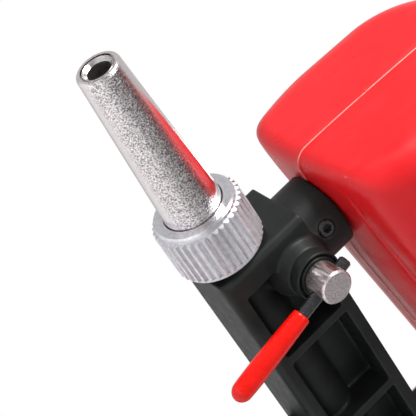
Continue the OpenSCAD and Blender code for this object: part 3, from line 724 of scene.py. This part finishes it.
def build_sleeve():
    """Dipped sleeve on the lever: round lip, flattened body that swells downwards, rounded end."""
    mouth = 13.8 * MM
    end_ball = 3.9 * MM
    end_round = 4.2 * MM
    low, high = (Vector(corner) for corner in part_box("lever_sleeve"))
    pivot = Vector((valve_centre.x, (low.y + high.y) / 2, valve_centre.z))
    down = Vector((low.x + 4 * MM - pivot.x, 0, low.z + end_ball - pivot.z))
    end = down.length + end_ball - mouth - end_round
    down.normalize()
    side = Vector((0, 1, 0)).cross(down)
    # distance from the mouth, half width and half thickness, in mm
    stations = [
        (2.5, 2.27, 2.27), (0.5, 2.3, 2.3), (0.12, 2.45, 2.42), (0, 2.7, 2.65), (0.1, 2.98, 2.9),
        (0.35, 3.15, 3.02), (0.8, 3.28, 3.12), (2, 3.36, 3.17), (5, 3.5, 3.2), (10, 3.78, 3.22),
        (16, 4.04, 3.22), (21, 4.18, 3.22), (26, 4.16, 3.21), (29, 4.08, 3.2), (30.6, 3.98, 3.18),
    ]
    loops = [(along * MM, wide * MM, thick * MM) for along, wide, thick in stations]
    wide, thick = loops[-1][1:]
    for i in range(1, 11):
        a = math.radians(87 * i / 10)
        loops.append((end + end_round * math.sin(a), wide * math.cos(a), thick * math.cos(a)))
    turn = [math.tau * i / 48 for i in range(48)]
    rows = []
    for along, wide, thick in loops:
        centre = pivot + down * (mouth + along)
        rows.append([
            centre + side * wide * math.cos(a) + Vector((0, thick * math.sin(a), 0)) for a in turn
        ])
    return piece("sleeve", ring_mesh(rows), "lever_sleeve", 60)


sleeve = build_sleeve()
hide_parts("lever_sleeve")


# ---------------------------------------------------------------- CAD pieces that keep their shape

def keep(node, bevel):
    """A CAD node shown as it is, with its edges lightly broken where a bevel is given."""
    obj = frame["nodes"][node]
    finish(obj, slot_of_node[node], 35)
    if bevel:
        edge = obj.modifiers.new("edges", "BEVEL")
        edge.width = bevel
        edge.segments = 2
        edge.limit_method = "ANGLE"
        edge.angle_limit = math.radians(35)
        edge.harden_normals = True


replaced = {"hopper", "frame", "trigger", "lever_sleeve"}
bevelled = {"rear_nut", "rear_bolt", "valve_plug", "valve_gland", "inlet_bushing"}
for node in frame["nodes"]:
    if node not in replaced:
        keep(node, 0.12 * MM if node in bevelled else 0)


# ---------------------------------------------------------------- studio

def studio():
    """Floor, white surround and soft lights."""
    size = 3.0
    floor_z = -0.35
    mesh = bpy.data.meshes.new("floor")
    corners = [(-1, -1), (1, -1), (1, 1), (-1, 1)]
    mesh.from_pydata([(x * size, y * size, floor_z) for x, y in corners], [], [(0, 1, 2, 3)])
    floor = loose("studio_floor", mesh)
    floor.data.materials.append(pale_floor())

    world = bpy.data.worlds.new("studio")
    world.use_nodes = True
    tree = world.node_tree
    ray = tree.nodes.new("ShaderNodeLightPath")
    seen = tree.nodes.new("ShaderNodeBackground")
    lit = tree.nodes["Background"]
    seen.inputs["Color"].default_value = (1, 1, 1, 1)
    seen.inputs["Strength"].default_value = 1.0
    # white screens all round, a dimmer room on the lever's side and one black flag above it
    where = tree.nodes.new("ShaderNodeTexCoord")

    def toward(direction, start, end, near, far):
        """Strength that goes from far to near as a ray turns towards a direction."""
        along = tree.nodes.new("ShaderNodeVectorMath")
        along.operation = "DOT_PRODUCT"
        along.inputs[1].default_value = Vector(direction).normalized()
        tree.links.new(where.outputs["Generated"], along.inputs[0])
        shade = tree.nodes.new("ShaderNodeMapRange")
        shade.interpolation_type = "SMOOTHSTEP"
        numbers = {"From Min": start, "From Max": end, "To Min": far, "To Max": near}
        for socket, number in numbers.items():
            shade.inputs[socket].default_value = number
        tree.links.new(along.outputs["Value"], shade.inputs["Value"])
        return shade.outputs["Result"]

    room = toward((0.0, 1.0, -0.1), 0.05, 0.75, 0.40, 0.62)
    flag = toward((-0.6, 0.46, 0.65), 0.86, 0.97, 0.06, 1.0)
    shade = tree.nodes.new("ShaderNodeMath")
    shade.operation = "MULTIPLY"
    tree.links.new(room, shade.inputs[0])
    tree.links.new(flag, shade.inputs[1])
    tree.links.new(shade.outputs[0], lit.inputs["Strength"])
    lit.inputs["Color"].default_value = (1, 1, 1, 1)
    choose = tree.nodes.new("ShaderNodeMixShader")
    tree.links.new(ray.outputs["Is Camera Ray"], choose.inputs[0])
    tree.links.new(lit.outputs[0], choose.inputs[1])
    tree.links.new(seen.outputs[0], choose.inputs[2])
    tree.links.new(choose.outputs[0], tree.nodes["World Output"].inputs["Surface"])
    bpy.context.scene.world = world

    # each light: name, place from the nozzle's zero, size and power
    lights = [
        ("key", (0.85, 0.30, 0.80), 0.45, 17),
        ("side", (0.1, 1.1, 0.65), 0.30, 3),
        ("back", (-0.9, -0.6, 0.6), 0.6, 5),
    ]
    target = nozzle_zero + Vector((-0.03, 0, 0.02))
    for name, offset, wide, power in lights:
        light = bpy.data.lights.new(name, "AREA")
        light.shape = "DISK"
        light.size = wide
        light.energy = power
        lamp = bpy.data.objects.new(name, light)
        lamp.location = nozzle_zero + Vector(offset)
        lamp.rotation_euler = (target - lamp.location).to_track_quat("-Z", "Y").to_euler()
        bpy.context.scene.collection.objects.link(lamp)


def set_camera():
    """Camera below and ahead of the gun on the lever's side, rolled so that the nozzle points up left."""
    right = Vector((-0.4485, 0.5494, 0.7050))
    up = Vector((0.6573, -0.3318, 0.6767))
    back = Vector((0.6057, 0.7669, -0.2123))
    data = bpy.data.cameras.new("camera")
    data.lens = 162.4
    data.clip_start = 0.01
    camera = bpy.data.objects.new("camera", data)
    turn = Matrix((right, up, back)).transposed().to_4x4()
    camera.matrix_world = Matrix.Translation(nozzle_zero + Vector((363.4, 466.5, -125.2)) * MM) @ turn
    bpy.context.scene.collection.objects.link(camera)
    bpy.context.scene.camera = camera


studio()
set_camera()
bpy.context.scene.view_settings.view_transform = "Standard"
